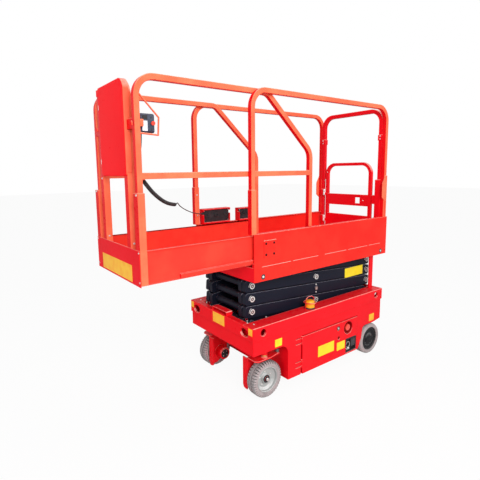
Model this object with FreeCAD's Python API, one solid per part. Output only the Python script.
import FreeCAD, Part
import math
import os

# Self-propelled mini scissor lift, lowered, with its roll-out deck pulled out.
# Millimetres. X is forward (steered end), Y is to the left, Z is up, the floor is z = 0.
# Positions below are measured from the middle of the chassis; put() moves them to the frame
# whose origin is under the middle of the whole machine.

# Chassis
RIM_L, RIM_W, RIM_TOP, RIM_LOW = 1390.0, 743.0, 530.0, 444.0
RIM_FLANGE = 100.0          # width of the top plate beside the bay
RIM_FRONT, RIM_REAR = 45.0, 55.0
PLATE = 6.0
BODY_IN = 9.0               # how far the body stands inside the rim
BODY_LOW, FRONT_LOW, REAR_LOW = 88.0, 342.0, 276.0
DECK_TOP = 410.0
ARCH_FRONT, ARCH_REAR, ARCH_R = 380.0, -397.0, 62.0
DOOR_FRONT, DOOR_REAR, DOOR_TOP, DOOR_T = 246.0, -373.0, 361.0, 22.0
DOOR_OUT = 3.5              # door face in front of the body side
HINGE_Z = (335.0, 166.0)
TRAY_IN = RIM_W / 2 - 265.5    # inner side of the two equipment trays
BEACON_X, BEACON_Y = 130.0, RIM_W / 2 - 46.5
REST_X, REST_Y, REST_W = -632.0, RIM_W / 2 - 75.5, 45.0

# Wheels and steering
WHEEL_R, WHEEL_W = 125.0, 80.0
FRONT_X, FRONT_Y = 531.0, RIM_W / 2 - 82.0
REAR_X, REAR_Y = -563.0, RIM_W / 2 - 52.0
FRONT_RIM_R, REAR_RIM_R = 88.0, 94.0      # where tyre and hub meet
AXLE_R = 18.0
RUN = 0.4                   # running clearance in a bore
STEER_ARM = 118.0
KINGPIN_R = 13.0

# Scissor stack
REAR_PIN, FRONT_PIN = -663.0, 587.0
PIN_Z0, STEP, LEVELS = 491.0, 88.0, 4
ARM_H, ARM_W = 80.0, 36.0
OUTER_Y = RIM_W / 2 - 174.5   # inner face of the outer arms
INNER_Y = OUTER_Y - ARM_W - 7.0   # inner face of the inner arms
PIN_R, TUBE_R, CAP_R = 15.0, 24.0, 20.0
ROLLER_R = 30.0
END_FRONT, END_REAR = 53.0, 30.0
SPAN = FRONT_PIN - REAR_PIN
ARM_L = math.hypot(SPAN, STEP)
LEAN = math.degrees(math.atan2(STEP, SPAN))
TOP_Z = PIN_Z0 + LEVELS * STEP

# Lift cylinder
FOOT_X, FOOT_Z = 75.0, 20.0       # foot pin from the lowest rear pin
EYE_AT = 0.2                      # eye along the second inner frame, from its front pin
BARREL_R, ROD_R, BARREL_L = 38.0, 18.5, 620.0
EYE_HALF, CHEEK_Y, CHEEK_T = 20.0, 24.0, 12.0

# Platform
PLAT_FRONT, PLAT_REAR, PLAT_W = 652.0, -777.0, RIM_W - 75.0
PLAT_LOW, PLAT_TOP, FLOOR_TOP = 808.0, 1114.0, 901.0
SHEET = 4.0
RAIL_TOP, TUBE = 1993.0, 32.0
RAIL_IN = PLAT_W / 2 - 29.0    # inner face of the main rails
POST_FRONT, POST_REAR, BEND = 672.0, -745.0, 122.0
SOCKET, SOCKET_TOP = 38.0, 1387.0
HOOP_TOP, HOOP_BEND = 1980.0, 110.0
JAMB_TOP = 1415.0
GATE_TOP, GATE_LOW, GATE_BEND = 1559.0, 934.0, 95.0
GATE_FAR, GATE_NEAR = 55.0 - RAIL_IN, RAIL_IN - 84.0
GATE_X, GATE_TUBE = -709.0, 26.0
GATE_PIN_X, GATE_PIN_Y = GATE_X + 5.0, GATE_FAR - 12.0
GATE_HINGES = (1290.0, 1050.0)

# Roll-out deck
EXT_FRONT, EXT_REAR, EXT_W = 1395.0, 62.0, PLAT_W - 32.0
EXT_LOW, EXT_TOP, EXT_FLOOR = 915.0, 1107.0, 922.0
EXT_WEB = EXT_W / 2 - 18.0     # inner face of the side channels
DECK_FOOT = 929.0           # underside of the edge that the deck slides on
EXT_RAIL_IN, EXT_RAIL_TOP = EXT_W / 2 - 51.0, 1990.0
EXT_POST, EXT_REAR_POST = 1382.0, 125.0
EXT_SOCKET_TOP = 1398.0
MID_Z = 1483.0
FRONT_HOOP_OUT, FRONT_HOOP_TOP = EXT_W / 2 - 114.0, 1974.0
TRAY_TOP, TRAY_LOW, TRAY_DEEP = FRONT_HOOP_TOP + 6.0, FRONT_HOOP_TOP - 491.0, 34.0

V = FreeCAD.Vector
SHIFT = -(PLAT_REAR + EXT_FRONT + 3.0) / 2.0


def put(shape, node):
    """Moves a finished piece into the machine's frame and writes it."""
    solids = shape.copy()
    solids.translate(V(SHIFT, 0, 0))
    solids.exportStep("parts/" + node + ".step")


def box(x0, x1, y0, y1, z0, z1):
    return Part.makeBox(abs(x1 - x0), abs(y1 - y0), abs(z1 - z0),
                        V(min(x0, x1), min(y0, y1), min(z0, z1)))


def rod_y(radius, x, z, y0, y1):
    return Part.makeCylinder(radius, abs(y1 - y0), V(x, min(y0, y1), z), V(0, 1, 0))


def rod_z(radius, x, y, z0, z1):
    return Part.makeCylinder(radius, abs(z1 - z0), V(x, y, min(z0, z1)), V(0, 0, 1))


def join(pieces):
    whole = pieces[0]
    if len(pieces) > 1:
        whole = whole.multiFuse(pieces[1:])
    return whole.removeSplitter()


def flip(shape):
    return shape.mirror(V(0, 0, 0), V(0, 1, 0))


def both(pieces):
    """The given pieces and their mirror images on the other side."""
    return list(pieces) + [flip(p) for p in pieces]


def plate_xz(points, y0, y1):
    wire = Part.makePolygon([V(x, min(y0, y1), z) for x, z in points + points[:1]])
    return Part.Face(wire).extrude(V(0, abs(y1 - y0), 0))


def plate_yz(points, x0, x1):
    wire = Part.makePolygon([V(min(x0, x1), y, z) for y, z in points + points[:1]])
    return Part.Face(wire).extrude(V(abs(x1 - x0), 0, 0))


def plate_xy(points, z0, z1):
    wire = Part.makePolygon([V(x, y, min(z0, z1)) for x, y in points + points[:1]])
    return Part.Face(wire).extrude(V(0, 0, abs(z1 - z0)))


def round_upright(shape, radius, axis="z"):
    """Rounds the straight edges that run along one axis."""
    picked = []
    for edge in shape.Edges:
        if len(edge.Vertexes) != 2:
            continue
        run = edge.Vertexes[1].Point - edge.Vertexes[0].Point
        size = {"x": abs(run.x), "y": abs(run.y), "z": abs(run.z)}
        if size[axis] > 0.999 * run.Length and run.Length > 2:
            picked.append(edge)
    return shape.makeFillet(radius, picked)


def strip(points, radii, width, to_world, thick):
    """A flat band of one width along a bent centre line, extruded to a square tube.

    points are (a, b) pairs in the band's plane, radii the bend radius at each inner point."""
    half = width / 2.0
    edges = {half: [], -half: []}
    last = {half: None, -half: None}

    def unit(p, q):
        run = math.hypot(q[0] - p[0], q[1] - p[1])
        return ((q[0] - p[0]) / run, (q[1] - p[1]) / run)

    def world(a, b):
        return to_world(a, b)

    start = unit(points[0], points[1])
    for side in (half, -half):
        last[side] = (points[0][0] - start[1] * side, points[0][1] + start[0] * side)
    first = dict(last)
    for i in range(1, len(points) - 1):
        before, after = unit(points[i - 1], points[i]), unit(points[i], points[i + 1])
        turn = math.atan2(before[0] * after[1] - before[1] * after[0],
                          before[0] * after[0] + before[1] * after[1])
        radius = radii[i - 1]
        back = radius * abs(math.tan(turn / 2.0))
        sign = 1.0 if turn > 0 else -1.0
        p0 = (points[i][0] - before[0] * back, points[i][1] - before[1] * back)
        centre = (p0[0] - before[1] * radius * sign, p0[1] + before[0] * radius * sign)
        for side in (half, -half):
            r = radius - sign * side
            spots = []
            for part in (0.0, 0.5, 1.0):
                ang = turn * part
                ca, sa = math.cos(ang), math.sin(ang)
                rx, rz = p0[0] - centre[0], p0[1] - centre[1]
                k = r / radius
                spots.append((centre[0] + k * (rx * ca - rz * sa), centre[1] + k * (rx * sa + rz * ca)))
            edges[side].append(Part.LineSegment(world(*last[side]), world(*spots[0])).toShape())
            edges[side].append(Part.Arc(world(*spots[0]), world(*spots[1]), world(*spots[2])).toShape())
            last[side] = spots[2]
    finish = unit(points[-2], points[-1])
    ends = {}
    for side in (half, -half):
        ends[side] = (points[-1][0] - finish[1] * side, points[-1][1] + finish[0] * side)
        edges[side].append(Part.LineSegment(world(*last[side]), world(*ends[side])).toShape())
    loop = [Part.LineSegment(world(*first[half]), world(*first[-half])).toShape()]
    loop += edges[half] + edges[-half]
    loop.append(Part.LineSegment(world(*ends[half]), world(*ends[-half])).toShape())
    wire = Part.Wire(Part.__sortEdges__(loop))
    return Part.Face(wire).extrude(thick)


def tube_xz(points, radii, y0, width=TUBE, thick=TUBE):
    """A bent square tube in an upright plane along the machine; y0 is its lower face in Y."""
    return strip(points, radii, width, lambda a, b: V(a, y0, b), V(0, thick, 0))


def tube_yz(points, radii, x0, width=TUBE, thick=TUBE):
    """A bent square tube in an upright plane across the machine; x0 is its rear face."""
    return strip(points, radii, width, lambda a, b: V(x0, a, b), V(thick, 0, 0))


def obround_cut(x0, x1, y, z, width, height):
    """A cutter for a long round-ended hole through a plate that faces along X."""
    r = height / 2.0
    reach = width / 2.0 - r
    pieces = [box(x0, x1, y - reach, y + reach, z - r, z + r)]
    for side in (-1, 1):
        pieces.append(Part.makeCylinder(r, abs(x1 - x0), V(min(x0, x1), y + side * reach, z), V(1, 0, 0)))
    return join(pieces)


HALF_L, HALF_W = RIM_L / 2.0, RIM_W / 2.0
BODY_X, BODY_Y = HALF_L - BODY_IN, HALF_W - BODY_IN
BAY_Y = HALF_W - RIM_FLANGE
BAY_FRONT, BAY_REAR = HALF_L - RIM_FRONT, -HALF_L + RIM_REAR
DOOR_FACE = BODY_Y + DOOR_OUT

# Holes to lash the machine down: x or y, height, and which plates they pass
SIDE_HOLES = [(609.0, 488.0, 24.0), (-609.0, 488.0, 24.0)]   # x, z, radius
END_HOLES = [(HALF_W - 88.5, 482.0, 80.0, 54.0)]                      # y, z, width, height


def lash_cutters():
    cutters = []
    for x, z, r in SIDE_HOLES:
        cutters += both([rod_y(r, x, z, BODY_Y - PLATE - 1, HALF_W + 1)])
    for y, z, wide, high in END_HOLES:
        for x0 in (BODY_X - PLATE - 1, -HALF_L - 1):
            cutters += both([obround_cut(x0, x0 + BODY_IN + PLATE + 2, y, z, wide, high)])
    return cutters


def chassis_rim():
    shell = round_upright(box(-HALF_L, HALF_L, -HALF_W, HALF_W, RIM_LOW, RIM_TOP), 9.0)
    top = [e for e in shell.Edges if e.BoundBox.ZMin > RIM_TOP - 0.5]
    shell = shell.makeFillet(4.0, top)
    shell = shell.cut(box(-BODY_X, BODY_X, -BODY_Y, BODY_Y, RIM_LOW - 1, RIM_TOP - PLATE))
    shell = shell.cut(box(BAY_REAR, BAY_FRONT, -BAY_Y, BAY_Y, RIM_LOW, RIM_TOP + 1))
    # room for the rear ends of the lowest arms
    shell = shell.cut(box(-HALF_L + PLATE, BAY_REAR + 1, -BAY_Y + 20, BAY_Y - 20, RIM_LOW - 1, RIM_TOP + 1))
    for cutter in lash_cutters():
        shell = shell.cut(cutter)
    # top plates, then the upright bands below them
    strips, step = [], RIM_TOP - PLATE
    for inner, z0, z1 in ((BAY_Y, step, RIM_TOP + 1), (BODY_Y, RIM_LOW - 1, step)):
        for y0, y1 in ((inner, HALF_W + 1), (-inner, inner), (-HALF_W - 1, -inner)):
            strips += shell.common(box(-HALF_L - 1, HALF_L + 1, y0, y1, z0, z1)).Solids
    return Part.makeCompound(strips)


def chassis_sides():
    top = RIM_TOP - PLATE
    points = [(BODY_X, FRONT_LOW), (BODY_X, top), (-BODY_X, top), (-BODY_X, REAR_LOW),
              (REAR_X - 28, WHEEL_R * 2 + 12), (REAR_X + 88, WHEEL_R * 2 + 12),
              (REAR_X + 111, WHEEL_R * 2), (REAR_X + 121, 200), (REAR_X + 127, 165),
              (ARCH_REAR, BODY_LOW), (DOOR_REAR - 6, BODY_LOW), (DOOR_REAR - 6, DOOR_TOP + 6),
              (DOOR_FRONT + 10, DOOR_TOP + 6), (DOOR_FRONT + 10, BODY_LOW), (ARCH_FRONT, BODY_LOW),
              (ARCH_FRONT, FRONT_LOW)]
    side = plate_xz(points, BODY_Y - PLATE, BODY_Y)
    # rounded top corner of the front arch
    corner = box(ARCH_FRONT, ARCH_FRONT + ARCH_R, BODY_Y - PLATE, BODY_Y, FRONT_LOW - ARCH_R, FRONT_LOW)
    corner = corner.cut(rod_y(ARCH_R, ARCH_FRONT + ARCH_R, FRONT_LOW - ARCH_R, BODY_Y - 20, BODY_Y + 20))
    knuckles = []
    for z in HINGE_Z:
        for low, high in ((z + 14.4, z + 29), (z - 29, z - 14.4)):
            tab = (z + 22, z + 29) if low > z else (z - 29, z - 22)
            knuckles.append(rod_z(5.0, DOOR_FRONT + 4, DOOR_FACE - 1, low, high))
            knuckles.append(box(DOOR_FRONT + 4, DOOR_FRONT + 14, BODY_Y - 3, BODY_Y, tab[0], tab[1]))
    side = join([side, corner] + knuckles)
    # slots that leave a strap in front of each door hinge
    for z in HINGE_Z:
        for dz in (-19.0, 19.0):
            side = side.cut(box(DOOR_FRONT + 9, DOOR_FRONT + 62, BODY_Y - 20, BODY_Y + 20,
                                z + dz - 2.5, z + dz + 2.5))
    whole = Part.makeCompound(both([side]))
    for cutter in lash_cutters():
        whole = whole.cut(cutter)
    return whole


def chassis_ends():
    top = RIM_TOP - PLATE
    front = box(BODY_X - PLATE, BODY_X, -BODY_Y + PLATE, BODY_Y - PLATE, FRONT_LOW, top)
    rear = box(-BODY_X, -BODY_X + PLATE, -BODY_Y + PLATE, BODY_Y - PLATE, REAR_LOW, top)
    rear = rear.cut(box(-BODY_X - 1, -BODY_X + PLATE + 1, -BAY_Y + 20, BAY_Y - 20, DECK_TOP, top + 1))
    whole = Part.makeCompound([front, rear])
    for cutter in lash_cutters():
        whole = whole.cut(cutter)
    return whole


def chassis_deck():
    inner = BODY_Y - PLATE
    deck = box(-BODY_X + PLATE, BODY_X - PLATE, -inner, inner, DECK_TOP - PLATE, DECK_TOP)
    walls = both([box(BAY_REAR, BAY_FRONT, BAY_Y, BAY_Y + PLATE, DECK_TOP, RIM_TOP - PLATE)])
    front = box(BAY_FRONT, BAY_FRONT + PLATE, -BAY_Y - PLATE, BAY_Y + PLATE, DECK_TOP, RIM_TOP - PLATE)
    return Part.makeCompound([deck, front] + walls)


def chassis_trays():
    """Two trays under the deck, between the wheel arches, for the batteries and the pump."""
    inner = BODY_Y - PLATE
    low, top = BODY_LOW, DECK_TOP - PLATE
    floor = box(ARCH_REAR + PLATE, ARCH_FRONT - PLATE, TRAY_IN, inner - DOOR_T - 6, low, low + PLATE)
    wall = box(ARCH_REAR + PLATE, ARCH_FRONT - PLATE, TRAY_IN - PLATE, TRAY_IN, low, top)
    ends = [box(ARCH_FRONT - PLATE, ARCH_FRONT, -inner, inner, low, top),
            box(ARCH_REAR, ARCH_REAR + PLATE, -inner, inner, low, top)]
    return join(ends + both([floor, wall]))


def power_blocks():
    """Batteries on one side, pump and charger on the other, each as one plain block."""
    low = BODY_LOW + PLATE
    return Part.makeCompound(both([box(-330.0, 180.0, TRAY_IN + 20, BODY_Y - 60, low, low + 225)]))


def roller_tracks():
    """Rails that carry the rollers of the lowest inner frame."""
    top = PIN_Z0 - ROLLER_R - 0.3
    x0, x1 = 225.0, FRONT_PIN + END_FRONT
    pieces = [box(x0, x1, OUTER_Y - 2, OUTER_Y + ARM_W + 2, top - 8, top),
              box(x0, x1, OUTER_Y + ARM_W - 6, OUTER_Y + ARM_W + 2, DECK_TOP, top - 8),
              box(x0, x1, OUTER_Y - 2, OUTER_Y + ARM_W - 6, DECK_TOP, DECK_TOP + 8)]
    return Part.makeCompound(both([join(pieces)]))


def rear_lugs():
    """Lugs and fixed pins that hold the lowest outer arms, and the foot of the lift cylinder."""
    pieces = []
    for y0, y1 in ((OUTER_Y - 19, OUTER_Y - 7), (OUTER_Y + ARM_W + 7, OUTER_Y + ARM_W + 17)):
        lug = join([box(REAR_PIN - 24, REAR_PIN + 40, y0, y1, DECK_TOP, PIN_Z0),
                    rod_y(24.0, REAR_PIN, PIN_Z0, y0, y1)])
        pieces.append(lug)
    pieces.append(rod_y(PIN_R, REAR_PIN, PIN_Z0, OUTER_Y - 19, OUTER_Y + ARM_W + 17))
    whole = both([join(pieces)])
    foot_x, foot_z = REAR_PIN + FOOT_X, PIN_Z0 + FOOT_Z
    cheek = join([plate_xz([(foot_x - 60, DECK_TOP), (foot_x + 60, DECK_TOP), (foot_x + 26, foot_z),
                            (foot_x - 26, foot_z)], BARREL_R + 8, BARREL_R + 20),
                  rod_y(26.0, foot_x, foot_z, BARREL_R + 8, BARREL_R + 20)])
    pin = rod_y(PIN_R, foot_x, foot_z, -BARREL_R - 24, BARREL_R + 24)
    return Part.makeCompound(whole + [join(both([cheek]) + [pin])])


def axle_mounts():
    """Kingpin housings at the front, hanging plates with stub axles at the rear."""
    top = DECK_TOP - PLATE
    house = join([rod_z(KINGPIN_R + 10, FRONT_X, FRONT_Y, 292.0, top),
                  box(FRONT_X - 60, FRONT_X + 60, FRONT_Y - 40, FRONT_Y + 60, top - 34, top)])
    house = house.cut(rod_z(KINGPIN_R + RUN, FRONT_X, FRONT_Y, 290.0, top - 2))
    hang = join([plate_xz([(REAR_X - 90, top), (REAR_X + 90, top), (REAR_X + 46, 90), (REAR_X + 24, 70),
                           (REAR_X - 24, 70), (REAR_X - 46, 90)], REAR_Y - 58, REAR_Y - 46),
                 rod_y(46.0, REAR_X, WHEEL_R, REAR_Y - 100, REAR_Y - 58),
                 rod_y(AXLE_R, REAR_X, WHEEL_R, REAR_Y - 46, REAR_Y + 20)])
    return Part.makeCompound(both([house, hang]))


def rest_posts():
    """Flat uprights that the lowered platform rests on."""
    return Part.makeCompound(both([box(REST_X - REST_W / 2, REST_X + REST_W / 2, REST_Y - 5, REST_Y + 5,
                                       RIM_TOP, PLAT_LOW - 5)]))


def front_cover():
    x0, x1, y, top = BAY_FRONT - 10, HALF_L - 5, 86.0, RIM_TOP + 29
    hood = box(x0, x1, -y, y, RIM_TOP - 20, top)
    hood = round_upright(hood, 8.0, "x")
    hood = hood.cut(box(x0 - 1, x1 + 1, -y - 1, y + 1, RIM_TOP - 21, RIM_TOP))
    return hood.cut(box(x0 + 4, x1 + 1, -y + 4, y - 4, RIM_TOP - 1, top - 4))


def beacon():
    base = rod_z(36.0, BEACON_X, BEACON_Y, RIM_TOP, RIM_TOP + 10)
    dome = rod_z(34.0, BEACON_X, BEACON_Y, RIM_TOP + 10, RIM_TOP + 62)
    dome = dome.makeFillet(13.0, [e for e in dome.Edges if e.BoundBox.ZMin > RIM_TOP + 61])
    return join([base, dome])


def beacon_guard():
    """A wire ring and a wire bow round the lamp."""
    ring = Part.makeTorus(42.0, 3.0, V(BEACON_X, BEACON_Y, RIM_TOP + 44), V(0, 0, 1))
    leg = rod_z(2.4, BEACON_X, BEACON_Y - 42, RIM_TOP, RIM_TOP + 44)
    posts = [rod_z(2.4, BEACON_X + dx, BEACON_Y, RIM_TOP, RIM_TOP + 70) for dx in (-42, 42)]
    slopes = []
    for dx in (-42, 42):
        foot, peak = V(BEACON_X + dx, BEACON_Y, RIM_TOP + 70), V(BEACON_X + dx * 0.4, BEACON_Y, RIM_TOP + 86)
        slopes.append(Part.makeCylinder(2.4, (peak - foot).Length, foot, peak - foot))
        slopes += [Part.makeSphere(2.6, foot), Part.makeSphere(2.6, peak)]
    bar = Part.makeCylinder(2.4, 33.6, V(BEACON_X - 16.8, BEACON_Y, RIM_TOP + 86), V(1, 0, 0))
    return join([ring, leg, bar] + posts + slopes)


def ring_solid(profile, x, y):
    """Turns an (radius, y) outline round a wheel's axle at (x, y)."""
    wire = Part.makePolygon([V(x + r, y + dy, WHEEL_R) for r, dy in profile + profile[:1]])
    return Part.Face(wire).revolve(V(x, y, WHEEL_R), V(0, 1, 0), 360)


def tyre(x, y, side, inner_r):
    h = WHEEL_W / 2.0
    outline = [(inner_r, -h + 4), (inner_r + 5, -h), (WHEEL_R - 11, -h), (WHEEL_R - 3, -h + 5),
               (WHEEL_R, -h + 13), (WHEEL_R, h - 13), (WHEEL_R - 3, h - 5), (WHEEL_R - 11, h),
               (inner_r + 5, h), (inner_r, h - 4)]
    return ring_solid([(r, side * dy) for r, dy in outline], x, side * y)


def front_hub(x, y, side, rim_r):
    bore = AXLE_R + RUN
    outline = [(bore, -26), (44, -26), (50, -30), (rim_r - 8, -30), (rim_r, -34), (rim_r, 34),
               (rim_r - 7, 34), (rim_r - 9, 18), (62, 8), (36, 6), (30, 22), (bore, 22)]
    return ring_solid([(r, side * dy) for r, dy in outline], x, side * y)


def rear_hub(x, y, side, rim_r):
    bore = AXLE_R + RUN
    outline = [(bore, -30), (rim_r - 8, -30), (rim_r, -34), (rim_r, 32), (rim_r - 6, 32),
               (rim_r - 9, 27), (bore, 24)]
    return ring_solid([(r, side * dy) for r, dy in outline], x, side * y)


def knuckle():
    """Left steering knuckle: kingpin, top plate with its arm, inner plate, front flange, motor."""
    x, y, low, top = FRONT_X, FRONT_Y, 262.0, 270.0
    arm_x, inside = x - STEER_ARM, y - 67.5
    plate = plate_xy([(x + 94, inside), (x + 94, y + 12.5), (x + 75, y + 30.5), (x - 31, y + 30.5),
                      (arm_x, y + 15), (arm_x, y - 15), (x - 65, inside)], low, top)
    web = plate_xz([(x + 94, low), (x + 94, 60), (x + 75, 40), (x + 31, 40), (x - 57, 96), (x - 65, 130),
                    (x - 65, low)], inside, inside + 8)
    flange = plate_yz([(inside, low), (inside - 44, low), (inside - 44, 64), (inside - 36, 46),
                       (inside - 18, 40), (inside, 40)], x + 86, x + 94)
    pieces = [plate, web, flange,
              rod_z(15.0, arm_x, y, low, top),
              rod_z(7.0, arm_x, y, top, 304.0),
              rod_z(21.0, x, y, top, 277.0),
              rod_z(17.0, x, y, 277.0, 290.0),
              rod_z(KINGPIN_R, x, y, 290.0, DECK_TOP - PLATE - 6),
              rod_y(45.0, x, WHEEL_R, inside - 62, inside),
              rod_y(30.0, x, WHEEL_R, inside + 8, inside + 28),
              rod_y(AXLE_R, x, WHEEL_R, inside + 8, y + 26)]
    return join(pieces)


def tie_rod():
    x, z = FRONT_X - STEER_ARM, 287.0
    bar = rod_y(9.0, x, z, -FRONT_Y + 12, FRONT_Y - 12)
    eyes = both([rod_z(14.0, x, FRONT_Y, z - 10.5, z + 10.5)])
    whole = join([bar] + eyes)
    for side in (-1, 1):
        whole = whole.cut(rod_z(7.0 + RUN, x, side * FRONT_Y, z - 20, z + 20))
    return whole


def door():
    """Left door: a folded pan whose hinge line is at its front edge."""
    pan = box(DOOR_REAR, DOOR_FRONT - 2, DOOR_FACE - DOOR_T, DOOR_FACE, BODY_LOW, DOOR_TOP)
    pan = pan.cut(box(DOOR_REAR + 4, DOOR_FRONT - 6, DOOR_FACE - DOOR_T - 1, DOOR_FACE - 4,
                      BODY_LOW + 4, DOOR_TOP - 4))
    barrels = [rod_z(5.0, DOOR_FRONT + 4, DOOR_FACE - 1, z - 14, z + 14) for z in HINGE_Z]
    tabs = [box(DOOR_FRONT - 6, DOOR_FRONT + 4, DOOR_FACE - 5, DOOR_FACE, z - 14, z + 14) for z in HINGE_Z]
    return join([pan] + barrels + tabs)


# Fittings on the left door: centre x, centre z
STOP_AT, KEY_AT, HOLE_AT = (-263.0, 298.0), (-145.0, 320.0), (-151.0, 243.0)
STOP_R, KEY_R, HOLE_R = 50.0, 17.0, 13.0
INLET = (-366.0, -236.0, 98.0, 212.0)       # x0, x1, z0, z1


def control_door():
    face = door()
    for (x, z), r in ((STOP_AT, STOP_R), (KEY_AT, KEY_R), (HOLE_AT, HOLE_R)):
        face = face.cut(rod_y(r, x, z, DOOR_FACE - 10, DOOR_FACE + 5))
    x0, x1, z0, z1 = INLET
    return face.cut(box(x0, x1, DOOR_FACE - 10, DOOR_FACE + 5, z0, z1))


def door_controls():
    """Emergency stop in its round cup, key switch, and the inlet box at the rear corner."""
    x, z = STOP_AT
    cup = rod_y(STOP_R - 0.5, x, z, DOOR_FACE - 40, DOOR_FACE - 0.5)
    cup = cup.cut(rod_y(STOP_R - 4, x, z, DOOR_FACE - 30, DOOR_FACE + 1))
    button = join([rod_y(13.0, x, z, DOOR_FACE - 30, DOOR_FACE - 12),
                   rod_y(25.0, x, z, DOOR_FACE - 14, DOOR_FACE - 1)])
    x, z = KEY_AT
    key = join([rod_y(KEY_R - 0.5, x, z, DOOR_FACE - 20, DOOR_FACE + 1.5),
                rod_y(7.0, x, z, DOOR_FACE, DOOR_FACE + 4)])
    x0, x1, z0, z1 = INLET
    inlet = box(x0 + 0.5, x1 - 0.5, DOOR_FACE - 34, DOOR_FACE + 1, z0 + 0.5, z1 - 0.5)
    inlet = inlet.cut(box(x0 + 46, x1 - 8, DOOR_FACE - 20, DOOR_FACE + 2, z0 + 26, z1 - 14))
    socket = box(x0 + 12, x0 + 64, DOOR_FACE - 20, DOOR_FACE - 1, z0 + 34, z1 - 20)
    return Part.makeCompound([join([cup, button]), key, join([inlet, socket])])


def arm(rear_style, front_style, bores):
    """One arm in its own frame: rear pin at the origin, front pin at (ARM_L, 0), both at y = 0.

    Styles are plain (flat ended with rounded corners), round (half round) and eye (narrow)."""
    reach = {"plain": (END_REAR, END_FRONT), "round": (ARM_H / 2, ARM_H / 2), "eye": (-35.0, -35.0)}
    back, ahead = reach[rear_style][0], reach[front_style][1]
    bar = box(-back, ARM_L + ahead, 0, ARM_W, -ARM_H / 2, ARM_H / 2)
    for style, at in ((rear_style, -back), (front_style, ARM_L + ahead)):
        if style == "eye":
            continue
        ends = [e for e in bar.Edges if abs(e.BoundBox.XMin - at) < 0.1 and abs(e.BoundBox.XMax - at) < 0.1
                and e.BoundBox.YMax - e.BoundBox.YMin > ARM_W - 1]
        bar = bar.makeFillet(ARM_H / 2 - 0.05 if style == "round" else 14.0, ends)
    if rear_style == "eye":
        eye = plate_xz([(0, 22), (35, ARM_H / 2), (35, -ARM_H / 2), (0, -22)], 0, ARM_W)
        bar = join([bar, eye, rod_y(22.0, 0, 0, 0, ARM_W)])
    for at in bores:
        bar = bar.cut(rod_y(PIN_R + RUN, at, 0, -1, ARM_W + 1))
    return bar


def lay(shape, x, z, lean):
    """Leans a piece drawn level with its rear pin at the origin and moves it to that pin."""
    placed = shape.copy()
    placed.rotate(V(0, 0, 0), V(0, 1, 0), -lean)
    placed.translate(V(x, 0, z))
    return placed


def cap(at, y):
    """The round white keeper on a pin's end, standing just off the arm's face."""
    ring = rod_y(CAP_R, at, 0, y + RUN, y + RUN + 5)
    return ring.makeFillet(1.5, [e for e in ring.Edges if e.BoundBox.YMin > y + RUN + 4.5])


def cross(at, half, tube_half, caps):
    """A pin across the machine with a thicker tube in its middle."""
    pieces = [rod_y(PIN_R, at, 0, -half, half), rod_y(TUBE_R, at, 0, -tube_half, tube_half)]
    if caps:
        pieces += both([cap(at, OUTER_Y + ARM_W)])
    return pieces


def outer_frame(level):
    rear = "eye" if level == 1 else "plain"
    front = "round" if level == LEVELS else "plain"
    side = arm(rear, front, [0.0, ARM_L / 2])
    side.translate(V(0, OUTER_Y, 0))
    half = OUTER_Y + ARM_W + RUN + 1
    pieces = both([side]) + cross(ARM_L, half, INNER_Y - 7, level < LEVELS)
    if level == LEVELS:
        pieces += both([rod_y(ROLLER_R, ARM_L, 0, INNER_Y + 2, INNER_Y + ARM_W - 2)])
    return lay(join(pieces), REAR_PIN, PIN_Z0 + STEP * (level - 1), LEAN)


def inner_frame(level):
    rear = "round" if level == LEVELS else "plain"
    side = arm(rear, "plain", [ARM_L] if level > 1 else [])
    side.translate(V(0, INNER_Y, 0))
    if level == LEVELS:
        pieces = both([side]) + cross(0.0, OUTER_Y + 12, INNER_Y - 22, False)
    else:
        pieces = both([side]) + cross(0.0, OUTER_Y + ARM_W + RUN + 1, INNER_Y, True)
    stub = rod_y(PIN_R, ARM_L / 2, 0, INNER_Y, OUTER_Y + ARM_W + RUN + 1)
    pieces += both([stub, cap(ARM_L / 2, OUTER_Y + ARM_W)])
    if level == 1:
        pieces += cross(ARM_L, OUTER_Y + ARM_W - 1, INNER_Y, False)
        pieces += both([rod_y(ROLLER_R, ARM_L, 0, OUTER_Y + 2, OUTER_Y + ARM_W - 2)])
    if level == 2:
        # cross tube and two cheeks that take the cylinder's eye
        eye, tube = ARM_L * (1 - EYE_AT), ARM_L * (1 - EYE_AT) + 130
        cheek = join([box(eye, tube, CHEEK_Y, CHEEK_Y + CHEEK_T, -26, 26),
                      rod_y(26.0, eye, 0, CHEEK_Y, CHEEK_Y + CHEEK_T),
                      rod_y(18.0, eye, 0, CHEEK_Y + CHEEK_T, CHEEK_Y + CHEEK_T + 6)])
        pieces += both([cheek]) + [rod_y(TUBE_R, tube, 0, -INNER_Y, INNER_Y)]
    return lay(join(pieces), REAR_PIN, PIN_Z0 + STEP * level, -LEAN)


def cylinder_line():
    """Foot pin, angle and length of the lift cylinder with the machine lowered."""
    foot = (REAR_PIN + FOOT_X, PIN_Z0 + FOOT_Z)
    eye = (FRONT_PIN - EYE_AT * SPAN, PIN_Z0 + STEP + EYE_AT * STEP)
    run, rise = eye[0] - foot[0], eye[1] - foot[1]
    return foot, eye, math.degrees(math.atan2(rise, run)), math.hypot(run, rise)


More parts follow.
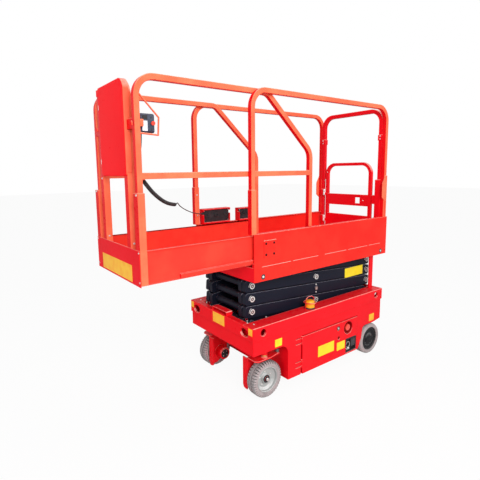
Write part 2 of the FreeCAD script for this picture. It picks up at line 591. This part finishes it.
def lift_barrel():
    foot, eye, lean, length = cylinder_line()
    body = Part.makeCylinder(BARREL_R, BARREL_L - 18, V(18, 0, 0), V(1, 0, 0))
    collar = Part.makeCylinder(BARREL_R + 5, 44, V(BARREL_L - 44, 0, 0), V(1, 0, 0))
    knob = rod_y(34.0, 0, 0, -BARREL_R + 4, BARREL_R - 4)
    whole = join([body, collar, knob])
    whole = whole.cut(Part.makeCylinder(ROD_R + RUN, BARREL_L, V(60, 0, 0), V(1, 0, 0)))
    whole = whole.cut(rod_y(PIN_R + RUN, 0, 0, -60, 60))
    return lay(whole, foot[0], foot[1], lean)


def lift_rod():
    foot, eye, lean, length = cylinder_line()
    bar = Part.makeCylinder(ROD_R, length - 340, V(340, 0, 0), V(1, 0, 0))
    knob = rod_y(26.0, length, 0, -EYE_HALF, EYE_HALF)
    return lay(join([bar, knob]), foot[0], foot[1], lean)


def platform_floor():
    half = PLAT_W / 2.0
    floor = box(PLAT_REAR + SHEET, PLAT_FRONT - SHEET, -half + SHEET, half - SHEET, FLOOR_TOP - SHEET,
                FLOOR_TOP)
    front = box(PLAT_FRONT - SHEET, PLAT_FRONT, -half + SHEET, half - SHEET, PLAT_LOW, FLOOR_TOP)
    rear = box(PLAT_REAR, PLAT_REAR + SHEET, -half + SHEET, half - SHEET, PLAT_LOW, FLOOR_TOP)
    return join([floor, front, rear])


# Bolted plate on each side panel: x0, x1, z0, z1
PATCH = (469.0, 572.0, 958.0, 1067.0)


def platform_sides():
    half = PLAT_W / 2.0
    panel = box(PLAT_REAR, PLAT_FRONT, half - SHEET, half, PLAT_LOW, PLAT_TOP)
    flange = box(PLAT_REAR, PLAT_FRONT, RAIL_IN, half, PLAT_TOP - SHEET, PLAT_TOP)
    # block that the roll-out deck slides on
    patch = box(*PATCH[:2], half, half + 3, *PATCH[2:])
    runner = box(PLAT_FRONT - 56, PLAT_FRONT - SHEET, half - SHEET - 20, half - SHEET, FLOOR_TOP,
                 DECK_FOOT - RUN)
    return Part.makeCompound(both([join([panel, flange, runner, patch])]))


def platform_frame():
    """Under the floor: tracks for the upper rollers, lugs at the rear pin, pads for the rests."""
    under = FLOOR_TOP - SHEET
    track = box(225.0, FRONT_PIN + END_FRONT, INNER_Y, INNER_Y + ARM_W, TOP_Z + ROLLER_R + 0.3, under)
    lugs = []
    for y0, y1 in ((INNER_Y - 17, INNER_Y - 7), (INNER_Y + ARM_W + 7, INNER_Y + ARM_W + 17)):
        lug = join([box(REAR_PIN - 26, REAR_PIN + 26, y0, y1, TOP_Z, under),
                    rod_y(26.0, REAR_PIN, TOP_Z, y0, y1)])
        lugs.append(lug.cut(rod_y(PIN_R + RUN, REAR_PIN, TOP_Z, y0 - 1, y1 + 1)))
    pad = box(REST_X - REST_W / 2 - 4, REST_X + REST_W / 2 + 4, REST_Y - 12, REST_Y + 12, PLAT_LOW, under)
    return Part.makeCompound(both([track, pad] + lugs))


def main_rail():
    """Left rail: one bent tube from the front post over the top to the rear post, with sockets."""
    r, h = BEND - TUBE / 2, TUBE / 2
    front, rear, top = POST_FRONT - h, POST_REAR + h, RAIL_TOP - h
    tube = tube_xz([(front, PLAT_TOP), (front, top), (rear, top), (rear, PLAT_TOP)], [r, r], RAIL_IN)
    tube = round_tube(tube)
    s = SOCKET / 2
    front_socket = box(front - s, front + s, RAIL_IN - 0.5, RAIL_IN + TUBE + 3, PLAT_TOP, SOCKET_TOP)
    side = RAIL_IN + TUBE
    gusset = plate_xz([(POST_REAR - 3, PLAT_TOP), (POST_REAR - 3, 1448), (POST_REAR + 23, 1448),
                       (POST_REAR + 61, 1385), (POST_REAR + 61, 1275), (POST_REAR + 15, 1240),
                       (POST_REAR + 15, PLAT_TOP)], side, side + SHEET)
    return join([tube, front_socket, gusset])


def round_tube(shape):
    """Rounds the long edges of a bent tube."""
    return shape.makeFillet(4.0, [e for e in shape.Edges if e.Length > 150 and len(e.Vertexes) == 2])


def rear_hoop():
    """Hoop over the entry, its clamps to the main rails, and the door jambs below it."""
    h = TUBE / 2
    y, top = RAIL_IN - h, HOOP_TOP - h
    hoop = tube_yz([(-y, JAMB_TOP), (-y, top), (y, top), (y, JAMB_TOP)],
                   [HOOP_BEND - h, HOOP_BEND - h], POST_REAR)
    clamps = both([box(POST_REAR - 4, POST_REAR + TUBE + 4, y - h - 4, y + h, HOOP_TOP - 252,
                       HOOP_TOP - 208)])
    jamb_near = box(POST_REAR, POST_REAR + 40, 259.0, RAIL_IN, FLOOR_TOP, JAMB_TOP)
    jamb_far = box(POST_REAR, POST_REAR + 30, -RAIL_IN, -RAIL_IN + 22, FLOOR_TOP, JAMB_TOP)
    keeper = box(POST_REAR + 4, POST_REAR + 38, GATE_NEAR + 9, 259.0, 1215.0, 1288.0)
    hinges = []
    for z in GATE_HINGES:
        hinges.append(box(POST_REAR + 30, GATE_PIN_X + 2, -RAIL_IN + 4, GATE_PIN_Y - 10, z - 20, z + 34))
        hinges.append(box(GATE_PIN_X - 4, GATE_PIN_X + 2, -RAIL_IN + 4, GATE_PIN_Y, z + 12, z + 34))
        hinges.append(rod_z(8.0, GATE_PIN_X, GATE_PIN_Y, z + 7.5, z + 34))
    return join([hoop, jamb_near, jamb_far, keeper] + clamps + hinges)


# Socket boxes on the far side panel: front x, rear x, top z
BOXES = [(619.0, 374.0, 1226.0), (285.0, 147.0, 1214.0)]


def side_boxes():
    half = PLAT_W / 2.0
    pieces = []
    for x1, x0, top in BOXES:
        case = box(x0, x1, -half + 2, -half + 56, PLAT_TOP, top)
        case = case.cut(box(x0 + 5, x1 - 5, -half + 40, -half + 60, PLAT_TOP + 12, top - 8))
        # groove that the end of the controller's cord slides along
        pieces.append(case.cut(box(x0 - 1, x1 + 1, -half + 32, -half + 60, PLAT_TOP + 70, PLAT_TOP + 93)))
    return Part.makeCompound(pieces)


def gate():
    h = GATE_TUBE / 2
    y0, y1, top = GATE_FAR + h, GATE_NEAR - h, GATE_TOP - h
    x0 = GATE_X - GATE_TUBE
    frame = tube_yz([(y0, GATE_LOW), (y0, top), (y1, top), (y1, GATE_LOW)],
                    [GATE_BEND - h, GATE_BEND - h], x0, GATE_TUBE, GATE_TUBE)
    bar = box(GATE_X - 8, GATE_X, y0, y1, 1191.0, 1288.0)
    bar = bar.cut(box(GATE_X - 9, GATE_X + 1, 69.0, 116.0, 1213.0, 1263.0))
    toe = box(GATE_X - 6, GATE_X, y0, y1, GATE_LOW, 1110.0)
    pieces = [frame, bar, toe]
    for z in GATE_HINGES:
        pieces.append(rod_z(8.0, GATE_PIN_X, GATE_PIN_Y, z - 20, z + 7))
        pieces.append(box(GATE_PIN_X - 6, GATE_PIN_X, GATE_PIN_Y, GATE_FAR + 1, z - 20, z + 7))
        pieces.append(box(GATE_X - 2, GATE_PIN_X, GATE_FAR - 4, GATE_FAR + 4, z - 20, z + 7))
    return join(pieces)


def extension_deck():
    web, half = EXT_WEB, EXT_W / 2.0
    floor = box(EXT_REAR, EXT_FRONT - SHEET, -web - SHEET, web + SHEET, EXT_FLOOR - SHEET, EXT_FLOOR)
    side = box(EXT_REAR, EXT_FRONT - 44, web, web + SHEET, EXT_FLOOR, EXT_TOP - 3)
    top = box(EXT_REAR, EXT_FRONT - 44, web, half, EXT_TOP - SHEET - 3, EXT_TOP - 3)
    foot = box(EXT_REAR, EXT_FRONT - 236, web + SHEET, half, DECK_FOOT, DECK_FOOT + 22)
    front = box(EXT_FRONT - SHEET, EXT_FRONT, -half, half, EXT_LOW, EXT_TOP)
    front = round_upright(front, 1.5)
    # blocks that slide on the platform floor
    shoe = box(EXT_REAR + 6, EXT_REAR + 70, web - 40, web - 6, FLOOR_TOP + RUN, EXT_FLOOR - SHEET)
    return Part.makeCompound([floor, front] + both([side, top, foot, shoe]))


def extension_rail():
    """Left rail of the roll-out deck: post, top rail, slanting tube, rear post, middle rail."""
    h = TUBE / 2
    front, rear, top = EXT_POST - h, EXT_REAR_POST - h, EXT_RAIL_TOP - h
    tube = tube_xz([(front, EXT_FLOOR), (front, top), (501.0, top), (rear, 1625.0), (rear, EXT_FLOOR)],
                   [BEND - h - 6, 75.0, 105.0], EXT_RAIL_IN)
    tube = round_tube(tube)
    middle = box(rear, front, EXT_RAIL_IN, EXT_RAIL_IN + TUBE, MID_Z - h, MID_Z + h)
    socket = box(EXT_FRONT - 43, EXT_FRONT - SHEET, EXT_RAIL_IN - 1, EXT_W / 2, EXT_FLOOR, EXT_SOCKET_TOP)
    return join([tube, middle, socket])


def front_hoop():
    """Hoop in the middle of the front, tied to the side rails."""
    wide, deep = 44.0, 38.0
    y, top, x0 = FRONT_HOOP_OUT - wide / 2, FRONT_HOOP_TOP - wide / 2, EXT_FRONT - SHEET - deep
    hoop = tube_yz([(-y, EXT_FLOOR), (-y, top), (y, top), (y, EXT_FLOOR)], [58.0, 58.0], x0, wide, deep)
    ties = both([box(x0 + 6, x0 + 28, FRONT_HOOP_OUT - 1, EXT_RAIL_IN, FRONT_HOOP_TOP - 256,
                      FRONT_HOOP_TOP - 204)])
    return join([hoop] + ties)


def front_tray():
    """Shallow case on the front hoop, hinged at the far post and rounded at its corners."""
    wide, x1 = 44.0, EXT_FRONT + 3
    near, far = FRONT_HOOP_OUT + 3, wide - FRONT_HOOP_OUT
    case = box(x1 - TRAY_DEEP, x1, far, near, TRAY_LOW, TRAY_TOP)
    for radius, y, z in ((64.0, near, TRAY_TOP), (28.0, near, TRAY_LOW), (28.0, far, TRAY_LOW)):
        picked = [e for e in case.Edges if e.BoundBox.XMax - e.BoundBox.XMin > TRAY_DEEP - 1
                  and abs(e.BoundBox.Center.y - y) < 1 and abs(e.BoundBox.Center.z - z) < 1]
        case = case.makeFillet(radius, picked).copy()
    rim = [e for e in case.Edges if e.BoundBox.XMin > x1 - 0.5]
    case = case.makeFillet(6.0, rim)
    # tab that hooks over the far corner of the hoop
    case = join([case, box(EXT_FRONT - SHEET + 0.2, x1 - 2, far - 30, far + 8, TRAY_TOP - 44, TRAY_TOP - 8)])
    post = FRONT_HOOP_OUT - wide / 2
    hollow = tube_yz([(-post, EXT_FLOOR), (-post, FRONT_HOOP_TOP - wide / 2),
                      (post, FRONT_HOOP_TOP - wide / 2), (post, EXT_FLOOR)], [58.0, 58.0],
                     EXT_FRONT - SHEET - 60, wide + 1, 60.2)
    for tie in both([box(EXT_FRONT - 60, EXT_FRONT - 13, FRONT_HOOP_OUT - 2, near + 1, FRONT_HOOP_TOP - 257,
                         FRONT_HOOP_TOP - 203)]):
        case = case.cut(tie)
    return case.cut(hollow)


# Hand controller hung inside the left rail: x0, x1, y0, y1, z0, z1
PANEL = (1247.0, 1330.0, EXT_RAIL_IN - 67.0, EXT_RAIL_IN - 9.0, 1702.0, 1800.0)


def control_box():
    x0, x1, y0, y1, z0, z1 = PANEL
    case = round_upright(box(x0, x1, y0, y1, z0, z1), 8.0)
    knob = Part.makeCylinder(11.0, 16, V(x0 + 13, y1 - 4, z1 - 54), V(0, 1, 0))
    hook = box(x1 - 12, EXT_POST - TUBE + 7, y1 - 8, EXT_RAIL_IN, z0 + 30, z0 + 66)
    return join([case, knob, hook])


# Red wire guard round the controller, in one upright plane: x, z
GUARD = [(1352.0, 1908.0), (1231.0, 1781.0), (1237.0, 1692.0), (1352.0, 1700.0)]
GUARD_Y, GUARD_R = EXT_RAIL_IN - 5.0, 4.5


def control_guard():
    pieces = []
    for (xa, za), (xb, zb) in zip(GUARD, GUARD[1:]):
        a, b = V(xa, GUARD_Y, za), V(xb, GUARD_Y, zb)
        pieces.append(Part.makeCylinder(GUARD_R, (b - a).Length, a, b - a))
    for x, z in GUARD[1:-1]:
        pieces.append(Part.makeSphere(GUARD_R, V(x, GUARD_Y, z)))
    # clip that holds the cord beside the post
    pieces.append(box(1326.0, 1348.0, EXT_RAIL_IN - 18.8, EXT_RAIL_IN, 1462.0, 1484.0))
    for x, z in (GUARD[0], GUARD[-1]):
        pieces.append(box(x - 8, x, GUARD_Y - 5, EXT_RAIL_IN, z - 5, z + 5))
    return join(pieces)


# Controller cord: thin down to a clip at the post, a coiled run, then thin to the far socket box
TOP = [(1318.0, 232.0, 1701.6), (1320.0, 234.0, 1650.0), (1336.0, 242.0, 1570.0), (1337.0, 246.0, 1500.0),
       (1322.0, 243.0, 1458.0)]
COIL = [(1322.0, 243.0, 1458.0), (1270.0, 210.0, 1408.0), (1212.0, 172.0, 1368.0), (1154.0, 134.0, 1336.0),
        (1091.0, 93.0, 1314.5), (1041.0, 60.0, 1307.0)]
LEAD = [(1041.0, 60.0, 1315.5), (1012.0, 36.0, 1315.5), (980.0, 8.0, 1292.0), (916.0, -48.0, 1264.0),
        (849.0, -105.0, 1241.0), (776.0, -167.0, 1220.0), (690.0, -240.0, 1201.0), (622.0, -298.8, 1192.0)]
COIL_R, LEAD_R = 11.5, 3.0


def cord_run(points, radius):
    """Straight runs joined by tangent arcs, as one round tube."""
    spots = [V(*p) for p in points]
    edges, last = [], spots[0]
    for i in range(1, len(spots) - 1):
        before, after = spots[i] - spots[i - 1], spots[i + 1] - spots[i]
        shorter = min(before.Length, after.Length)
        turn = before.getAngle(after)
        bend = 0.45 * shorter / math.tan(turn / 2)
        back = bend * math.tan(turn / 2)
        u, w = V(before).normalize(), V(after).normalize()
        p0, p1 = spots[i] - u * back, spots[i] + w * back
        inward = (w - u).normalize()
        centre = spots[i] + inward * (bend / math.cos(turn / 2))
        middle = centre - inward * bend
        edges.append(Part.LineSegment(last, p0).toShape())
        edges.append(Part.Arc(p0, middle, p1).toShape())
        last = p1
    edges.append(Part.LineSegment(last, spots[-1]).toShape())
    path = Part.Wire(edges)
    start = spots[1] - spots[0]
    ring = Part.Wire(Part.makeCircle(radius, spots[0], start))
    return path.makePipeShell([ring], True, False)


# Wheels: node end, centre x, centre y, side, inner radius of the tyre, hub maker
WHEELS = [("front_left", FRONT_X, FRONT_Y, 1, FRONT_RIM_R, front_hub),
          ("front_right", FRONT_X, FRONT_Y, -1, FRONT_RIM_R, front_hub),
          ("rear_left", REAR_X, REAR_Y, 1, REAR_RIM_R, rear_hub),
          ("rear_right", REAR_X, REAR_Y, -1, REAR_RIM_R, rear_hub)]


def main():
    os.makedirs("parts", exist_ok=True)
    plain = [("chassis_rim", chassis_rim), ("chassis_sides", chassis_sides), ("chassis_ends", chassis_ends),
             ("chassis_deck", chassis_deck), ("chassis_trays", chassis_trays),
             ("power_blocks", power_blocks), ("roller_tracks", roller_tracks), ("rear_lugs", rear_lugs),
             ("axle_mounts", axle_mounts), ("rest_posts", rest_posts), ("front_cover", front_cover),
             ("beacon", beacon), ("beacon_guard", beacon_guard), ("tie_rod", tie_rod),
             ("door_left", control_door), ("door_controls", door_controls),
             ("lift_barrel", lift_barrel), ("lift_rod", lift_rod), ("platform_floor", platform_floor),
             ("platform_sides", platform_sides), ("platform_frame", platform_frame),
             ("rear_hoop", rear_hoop), ("side_boxes", side_boxes), ("gate", gate),
             ("extension_deck", extension_deck), ("front_hoop", front_hoop), ("front_tray", front_tray),
             ("control_box", control_box), ("control_guard", control_guard)]
    for node, make in plain:
        put(make(), node)
    put(flip(door()), "door_right")
    for name, make in (("knuckle", knuckle), ("main_rail", main_rail), ("extension_rail", extension_rail)):
        piece = make()
        put(piece, name + "_left")
        put(flip(piece), name + "_right")
    for name, x, y, side, inner_r, hub in WHEELS:
        put(tyre(x, y, side, inner_r), "tyre_" + name)
        put(hub(x, y, side, inner_r), "hub_" + name)
    for level in range(1, LEVELS + 1):
        put(outer_frame(level), "outer_arms_%d" % level)
        put(inner_frame(level), "inner_arms_%d" % level)
    coil = cord_run(COIL, COIL_R)
    put(cord_run(TOP, LEAD_R).cut(coil), "cord_top")
    put(coil, "cord_coil")
    put(cord_run(LEAD, LEAD_R).cut(coil), "cord_lead")


if __name__ == "__main__":
    main()
